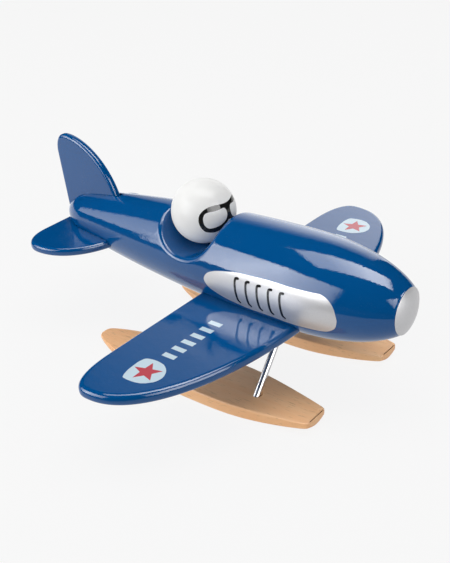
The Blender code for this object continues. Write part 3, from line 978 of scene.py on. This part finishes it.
def float_section(half_width, underside, rise, shrink=0.0):
    """One cross-section: a flat top, a slightly crowned underside and four eased edges."""
    top = FLOAT_TOP_Z - shrink
    half_width = half_width - shrink
    edge_low = underside + rise + shrink
    radius = min(FLOAT_EDGE, 0.4 * half_width, 0.4 * (top - edge_low))
    ring = []
    across = np.linspace(-1.0, 1.0, 15)
    inner = half_width - radius
    for share in across:
        ring.append((share * inner, underside + shrink + rise * share ** 2))
    corners = ((1.0, edge_low + radius, -90.0), (1.0, top - radius, 0.0),
               (-1.0, top - radius, 90.0), (-1.0, edge_low + radius, 180.0))
    for side, centre_z, start in corners:
        steps = range(1, 7) if start == -90.0 else range(0, 7)
        steps = range(0, 6) if start == 180.0 else steps
        for step in steps:
            angle = math.radians(start + 15.0 * step)
            ring.append((side * inner + radius * math.cos(angle), centre_z + radius * math.sin(angle)))
    return ring


def make_float(side_name, side):
    rows = smooth_rows(FLOAT_SECTIONS, 7)
    rings = []
    for x, half_width, underside, rise in rows:
        rings.append([(x, y, z) for y, z in float_section(half_width, max(0.0, underside), max(0.0, rise))])
    x, half_width, underside, rise = rows[-1]
    for step in range(1, 5):
        angle = math.pi / 2 * step / 4
        ease = 0.5 * (1.0 - math.cos(angle))
        ring = float_section(half_width, underside, rise, ease)
        rings.append([(x + 0.5 * math.sin(angle) - 0.5, y, z) for y, z in ring])
    rings = rings[:len(rows) - 1] + [[(x - 0.5, y, z) for x, y, z in rings[len(rows) - 1]]] + rings[len(rows):]
    count = len(rings[0])
    points = np.array(rings).reshape(-1, 3) + (0.0, side * FLOAT_Y, 0.0)
    faces = bridge(len(rings), count)
    faces.append(tuple(range(count)))
    last = (len(rings) - 1) * count
    faces.append(tuple(range(last, last + count)))
    return make_piece("float_board_" + side_name, points, faces, BEECH)


for side_name, side in SIDES:
    board = make_float(side_name, side)
    shift_x, shift_out = FLOAT_BORE_OFFSET
    bores = [rod_between("cut_float_" + place, x + shift_x, side, ROD_LOW - JOINT_GAP, FLOAT_TOP_Z + 6.0,
                         FLOAT_BORE_RADIUS, out=shift_out)
             for place, x in ROD_STATIONS]
    carve(board, bores, BEECH)
    dress(board, "beech", "float_" + side_name)

# %% [markdown]
# The marks on the toy are printed, so they are films a few hundredths of a millimetre thick.
# A flat outline is filled with small triangles, each corner is dropped on the surface below,
# and a second layer just under the skin closes the film. Paint on the body's own mesh would
# need an image, and a film needs only its outline.

# %% Helpers for prints
FILM_LIFT = 0.05
FILM_SINK = 0.05


def smooth_loop(corners, steps=6):
    """A closed smooth curve through its corners."""
    corners = np.asarray(corners, float)
    count = len(corners)
    points = []
    for i in range(count):
        a, b, c, d = (corners[(i + k) % count] for k in (-1, 0, 1, 2))
        for t in np.arange(steps) / steps:
            bend = (2 * a - 5 * b + 4 * c - d) * t ** 2 + (3 * b - a - 3 * c + d) * t ** 3
            points.append(b + 0.5 * ((c - a) * t + bend))
    return np.array(points)


def straight_loop(corners, spacing):
    """A closed outline of straight sides, with points at an even spacing."""
    corners = np.asarray(corners, float)
    points = []
    for start, end in zip(corners, np.roll(corners, -1, 0)):
        count = max(1, int(np.linalg.norm(end - start) / spacing))
        points += [start + (end - start) * k / count for k in range(count)]
    return np.array(points)


def inside_points(outline, spacing):
    """Grid points inside an outline and clear of its edge."""
    low, high = outline.min(0) + spacing / 2, outline.max(0)
    grid = np.stack(np.meshgrid(np.arange(low[0], high[0], spacing),
                                np.arange(low[1], high[1], spacing)), -1).reshape(-1, 2)
    start, end = outline, np.roll(outline, -1, 0)
    run = end - start
    offset = grid[:, None] - start[None]
    share = np.clip((offset * run).sum(2) / (run ** 2).sum(1), 0.0, 1.0)
    apart = np.linalg.norm(offset - share[..., None] * run, axis=2).min(1)
    crosses = (start[:, 1] > grid[:, 1:2]) != (end[:, 1] > grid[:, 1:2])
    slope = np.where(np.abs(run[:, 1]) < 1e-12, 1.0, run[:, 1])
    at = start[:, 0] + (grid[:, 1:2] - start[:, 1]) * run[:, 0] / slope
    inside = (crosses & (grid[:, 0:1] < at)).sum(1) % 2 == 1
    return grid[inside & (apart > 0.4 * spacing)]


def film_faces(outline, spacing):
    """Points and triangles of a filled outline, and the directed edges round it."""
    points = np.concatenate([outline, inside_points(outline, spacing)])
    count = len(outline)
    edges = [(i, (i + 1) % count) for i in range(count)]
    found = delaunay_2d_cdt([Vector(p) for p in points], edges, [], 1, 1e-7)
    flat = np.array([tuple(v) for v in found[0]])
    triangles = []
    for a, b, c in found[2]:
        u, v = flat[b] - flat[a], flat[c] - flat[a]
        triangles.append((a, b, c) if u[0] * v[1] - u[1] * v[0] > 0.0 else (a, c, b))
    directed = {(t[i], t[(i + 1) % 3]) for t in triangles for i in range(3)}
    rim = [edge for edge in directed if (edge[1], edge[0]) not in directed]
    return flat, triangles, sorted(rim)


def closed_film(flat, triangles, rim, place, lift):
    """Top and bottom layers of a film on a surface, with a narrow wall between them."""
    surface, normal = place(flat[:, 0], flat[:, 1])
    points = np.concatenate([surface + normal * lift, surface - normal * FILM_SINK])
    count = len(flat)
    faces = [tuple(map(int, t)) for t in triangles]
    faces += [(int(a) + count, int(c) + count, int(b) + count) for a, b, c in triangles]
    faces += [(int(a), int(b), int(b) + count, int(a) + count) for a, b in rim]
    return points, faces


def make_film(name, outlines, material, slot, spacing, places, lift=FILM_LIFT):
    """One printed piece made of several filled outlines, each laid on by its own rule."""
    all_points, all_faces, start = [], [], 0
    for outline, place in zip(outlines, places):
        points, faces = closed_film(*film_faces(outline, spacing), place, lift)
        all_points.append(points)
        all_faces += [tuple(index + start for index in face) for face in faces]
        start += len(points)
    film = make_piece(name, np.concatenate(all_points), all_faces, material, 60.0)
    dress(film, slot)
    return film


def on_body(side):
    """Lays (x, z) on one side of the turned body."""
    def place(x, z):
        radius = body_radius(x)
        y = np.sqrt(np.clip(radius ** 2 - (z - BODY_AXIS_Z) ** 2, 0.0, None))
        slope = (body_radius(x + 0.01) - body_radius(x - 0.01)) / 0.02
        normal = np.stack([-slope * radius, side * y, z - BODY_AXIS_Z], 1)
        normal /= np.linalg.norm(normal, axis=1)[:, None]
        return np.stack([x, side * y, z], 1), normal
    return place


def on_wing(x, y):
    top = np.full(len(x), wing_high[2])
    return np.stack([x, y, top], 1), np.tile((0.0, 0.0, 1.0), (len(x), 1))


def on_ball(side):
    """Lays degrees round and up from the nose's direction on the ball."""
    def place(round_angle, up_angle):
        a, b = np.radians(round_angle), np.radians(up_angle)
        normal = np.stack([np.cos(b) * np.cos(a), side * np.cos(b) * np.sin(a), np.sin(b)], 1)
        return HEAD_CENTRE + HEAD_RADIUS * normal, normal
    return place


print("film is", FILM_LIFT, "mm proud")

# %% [markdown]
# A silver panel covers each side of the body above the wing, from behind the pilot's cut to
# the nose. Its outline was read off the photograph onto the body as heights and distances.

# %% Side panels
PANEL = (
    (10.0, 56.6), (12.3, 60.3), (16.3, 62.5), (20.9, 63.9), (30.4, 65.9), (39.8, 66.7), (51.9, 67.4),
    (63.7, 67.4), (74.6, 67.5), (80.2, 67.5), (84.1, 65.7), (87.1, 62.4), (88.8, 57.5), (88.9, 54.6),
    (87.6, 50.8), (84.3, 48.0), (81.3, 46.9), (75.9, 46.3), (67.4, 46.0), (61.6, 46.0), (50.0, 46.5),
    (36.6, 46.3), (27.6, 47.3), (21.5, 48.3), (14.5, 50.8), (11.3, 53.2),
)
for side_name, side in SIDES:
    make_film("side_panel_" + side_name, [smooth_loop(PANEL)], SILVER, "silver_paint", 1.5, [on_body(side)])

# %% [markdown]
# Each wing carries a white shield with a red star near its tip. A five-pointed star is one
# rule: five points on a wide circle, and five between them on a narrower one, a little fuller than a drawn star has.

# %% Shields and stars
STAR_CENTRE = (29.6, 92.8)
STAR_RADIUS = 7.6
STAR_TURN = math.radians(36.0)
STAR_WAIST = 0.42
# x forward and y to port, from the star's centre; the same on both wings
SHIELD = ((-6.8, -8.9), (-8.3, -4.5), (-8.8, 0.4), (-8.8, 5.0), (-7.4, 8.4), (-2.9, 9.6), (0.5, 9.4),
          (3.5, 8.6), (7.0, 5.8), (9.0, 2.2), (9.4, -1.0), (8.2, -4.6), (4.6, -8.1), (1.0, -9.4),
          (-2.1, -9.8), (-5.0, -9.7))


def star_outline(centre):
    corners = []
    for k in range(10):
        reach = STAR_RADIUS * (STAR_WAIST if k % 2 else 1.0)
        turn = STAR_TURN + math.pi / 5 * k
        corners.append((centre[0] + reach * math.cos(turn), centre[1] + reach * math.sin(turn)))
    return straight_loop(corners, 1.0)


star_centres = [np.array([STAR_CENTRE[0], side * STAR_CENTRE[1]]) for name, side in SIDES]
shield_loop = smooth_loop(SHIELD)
make_film("wing_shields", [shield_loop + centre for centre in star_centres], WHITE_INK, "white_print",
          3.0, [on_wing, on_wing])
make_film("wing_stars", [star_outline(centre) for centre in star_centres], RED_INK, "red_print",
          3.0, [on_wing, on_wing], FILM_LIFT + 0.03)

# %% [markdown]
# The goggles are printed on the ball: one black frame, and a white lens on each side. Their
# outlines are in degrees on the ball, which keeps them true however the ball is seen.

# %% Goggles
GOGGLE_FRAME = ((0.0, 28.7), (12.0, 29.2), (26.8, 30.2), (40.5, 28.6), (50.4, 24.2), (57.7, 16.6),
                (59.6, 8.0), (58.9, 1.1), (56.1, -6.3), (50.6, -13.7), (44.6, -16.9), (36.2, -18.8),
                (28.8, -18.7), (20.0, -16.0), (12.0, -10.0), (6.0, -4.0), (0.0, -1.0))
GOGGLE_LENS = ((9.0, 21.6), (5.6, 17.0), (5.0, 11.5), (6.0, 6.0), (9.0, 1.0), (15.0, -3.5), (22.0, -6.5),
               (30.0, -8.5), (37.0, -9.1), (42.0, -8.8), (47.0, -5.3), (50.5, 0.2), (51.7, 7.2),
               (51.1, 12.5), (48.1, 17.6), (42.4, 20.0), (35.2, 20.4), (24.7, 20.8), (14.4, 21.9))
frame_half = np.array(GOGGLE_FRAME)
frame_loop = smooth_loop(np.concatenate([frame_half, frame_half[-2:0:-1] * (-1.0, 1.0)]))
make_film("goggle_frame", [frame_loop], BLACK_INK, "black_print", 2.5, [on_ball(-1.0)])
make_film("goggle_lenses", [smooth_loop(GOGGLE_LENS)] * 2, WHITE, "white_lacquer", 2.5,
          [on_ball(-1.0), on_ball(1.0)], FILM_LIFT + 0.04)

# %% [markdown]
# Two prints repeat: the louvre marks on each panel, and a row of plain bars on each wing. One
# Geometry Nodes tree prints any such row. It sets copies of a mark along a line, drops each
# corner on the surface below by a ray, and lifts it by the film's height. The ray makes the
# marks follow the round body without any measuring.

# %% A printed row in Geometry Nodes
def printed_row_tree():
    tree = bpy.data.node_groups.new("printed_row", "GeometryNodeTree")
    sockets = (("Mark", "NodeSocketGeometry"), ("Count", "NodeSocketInt"), ("Start", VECTOR),
               ("Step", VECTOR), ("Surface", "NodeSocketObject"), ("Down", VECTOR), ("Lift", FLOAT),
               ("Ink", "NodeSocketMaterial"))
    for label, kind in sockets:
        tree.interface.new_socket(label, in_out="INPUT", socket_type=kind)
    tree.interface.new_socket("Geometry", in_out="OUTPUT", socket_type="NodeSocketGeometry")
    given = node(tree, "NodeGroupInput").outputs
    out = node(tree, "NodeGroupOutput")
    line = node(tree, "GeometryNodeMeshLine", {"mode": "OFFSET"}, Count=given["Count"],
                Start_Location=given["Start"], Offset=given["Step"])
    copies = node(tree, "GeometryNodeInstanceOnPoints", Points=line.outputs[0], Instance=given["Mark"])
    real = node(tree, "GeometryNodeRealizeInstances", Geometry=copies.outputs[0])
    place = node(tree, "GeometryNodeInputPosition").outputs[0]

    def vector(operation, a, b=None, scale=None):
        made = node(tree, "ShaderNodeVectorMath", {"operation": operation})
        put(tree, made.inputs[0], a)
        if b is not None:
            put(tree, made.inputs[1], b)
        if scale is not None:
            put(tree, made.inputs["Scale"], scale)
        return made.outputs["Value" if operation == "DOT_PRODUCT" else "Vector"]

    depth = vector("DOT_PRODUCT", place, given["Down"])
    level = vector("SUBTRACT", place, vector("SCALE", given["Down"], scale=depth))
    source = vector("SUBTRACT", level, vector("SCALE", given["Down"], scale=-0.001))
    far = node(tree, "ShaderNodeVectorMath", {"operation": "SCALE"})
    put(tree, far.inputs[0], given["Down"])
    far.inputs["Scale"].default_value = 0.2
    source = vector("SUBTRACT", level, far.outputs["Vector"])
    target = node(tree, "GeometryNodeObjectInfo", {"transform_space": "RELATIVE"}, Object=given["Surface"])
    ray = node(tree, "GeometryNodeRaycast", {"data_type": "FLOAT_VECTOR"})
    put(tree, ray.inputs["Target Geometry"], target.outputs["Geometry"])
    put(tree, ray.inputs["Source Position"], source)
    put(tree, ray.inputs["Ray Direction"], given["Down"])
    ray.inputs["Ray Length"].default_value = 1.0
    height = node(tree, "ShaderNodeMath", {"operation": "SUBTRACT"})
    put(tree, height.inputs[0], given["Lift"])
    put(tree, height.inputs[1], depth)
    raised = vector("ADD", ray.outputs["Hit Position"],
                    vector("SCALE", ray.outputs["Hit Normal"], scale=height.outputs[0]))
    laid = node(tree, "GeometryNodeSetPosition", Geometry=real.outputs[0], Position=raised,
                Selection=ray.outputs["Is Hit"])
    inked = node(tree, "GeometryNodeSetMaterial", Geometry=laid.outputs[0], Material=given["Ink"])
    tree.links.new(inked.outputs[0], out.inputs["Geometry"])
    return tree


PRINTED_ROW = printed_row_tree()


def print_row(mark, material, slot, sharp_angle=60.0, **inputs):
    """Runs the printed row on a flat mark and keeps the result as a plain mesh."""
    modifier = mark.modifiers.new("printed_row", "NODES")
    modifier.node_group = PRINTED_ROW
    labels = {item.name: item.identifier for item in PRINTED_ROW.interface.items_tree
              if item.item_type == "SOCKET" and item.in_out == "INPUT"}
    for label, value in dict(inputs, Ink=material).items():
        modifier[labels[label]] = value
    seen = bpy.context.evaluated_depsgraph_get()
    shape = bpy.data.meshes.new_from_object(mark.evaluated_get(seen))
    mark.modifiers.clear()
    mark.data = shape
    finish_surface(mark, material, sharp_angle)
    dress(mark, slot)
    return mark


def flat_mark(name, outline, spacing, to_space):
    """A thin closed mark; to_space turns flat points and a height above the surface into space."""
    flat, triangles, rim = film_faces(outline, spacing)
    top = to_space(flat[:, 0], flat[:, 1], 0.0)
    bottom = to_space(flat[:, 0], flat[:, 1], -FILM_SINK - FILM_LIFT)
    count = len(flat)
    faces = [tuple(map(int, t)) for t in triangles]
    faces += [(int(a) + count, int(c) + count, int(b) + count) for a, b, c in triangles]
    faces += [(int(a), int(b), int(b) + count, int(a) + count) for a, b in rim]
    return make_piece(name, np.concatenate([top, bottom]), faces)


print("tree:", PRINTED_ROW.name)

# %% Louvre marks and wing bars
LOUVRE_COUNT = 5
LOUVRE_FIRST_X = 30.9
LOUVRE_STEP = 6.93
LOUVRE_STROKE = 0.68
# middle line of one mark: along from its top, height
LOUVRE_LINE = ((1.9, 63.3), (0.7, 63.1), (0.1, 62.2), (0.0, 60.0), (0.1, 57.0), (0.4, 53.8),
               (0.7, 51.2), (1.1, 49.8), (1.9, 49.1))
BAR_COUNT = 6
BAR_WIDTH = 3.2
BAR_X = (26.0, 33.5)
BAR_REACH = (39.8, 78.2)


def stroke(line, half_width):
    """Outline of a stroke drawn along a line, with rounded ends."""
    line = smooth_rows(line, 5)
    run = np.gradient(line, axis=0)
    run /= np.linalg.norm(run, axis=1)[:, None]
    side = np.stack([-run[:, 1], run[:, 0]], 1)
    cap = np.linspace(math.pi / 2, -math.pi / 2, 7)[1:-1]
    end = [line[-1] + half_width * (math.cos(a) * run[-1] + math.sin(a) * side[-1]) for a in cap]
    begin = [line[0] + half_width * (-math.cos(a) * run[0] - math.sin(a) * side[0]) for a in cap]
    return np.concatenate([line + half_width * side, end, (line - half_width * side)[::-1], begin])


def side_space(side):
    return lambda u, v, height: np.stack([u, np.full(len(u), side * height), v], 1)


def top_space(u, v, height):
    return np.stack([u, v, np.full(len(u), height)], 1)


for side_name, side in SIDES:
    mark = flat_mark("louvre_marks_" + side_name, stroke(LOUVRE_LINE, LOUVRE_STROKE), 0.8, side_space(side))
    print_row(mark, BLACK_INK, "black_print", Count=LOUVRE_COUNT, Start=(LOUVRE_FIRST_X * MM, 0.0, 0.0),
              Step=(LOUVRE_STEP * MM, 0.0, 0.0), Surface=body, Down=(0.0, -side, 0.0),
              Lift=(FILM_LIFT + 0.03) * MM)
    bar_corners = [(BAR_X[0], 0.0), (BAR_X[1], 0.0), (BAR_X[1], BAR_WIDTH), (BAR_X[0], BAR_WIDTH)]
    mark = flat_mark("wing_bars_" + side_name, straight_loop(bar_corners, 1.0), 3.0, top_space)
    first = BAR_REACH[0] if side > 0.0 else -BAR_REACH[1]
    step = (BAR_REACH[1] - BAR_REACH[0] - BAR_WIDTH) / (BAR_COUNT - 1)
    print_row(mark, WHITE_INK, "white_print", Count=BAR_COUNT, Start=(0.0, first * MM, 0.0),
              Step=(0.0, step * MM, 0.0), Surface=wing, Down=(0.0, 0.0, -1.0), Lift=FILM_LIFT * MM)
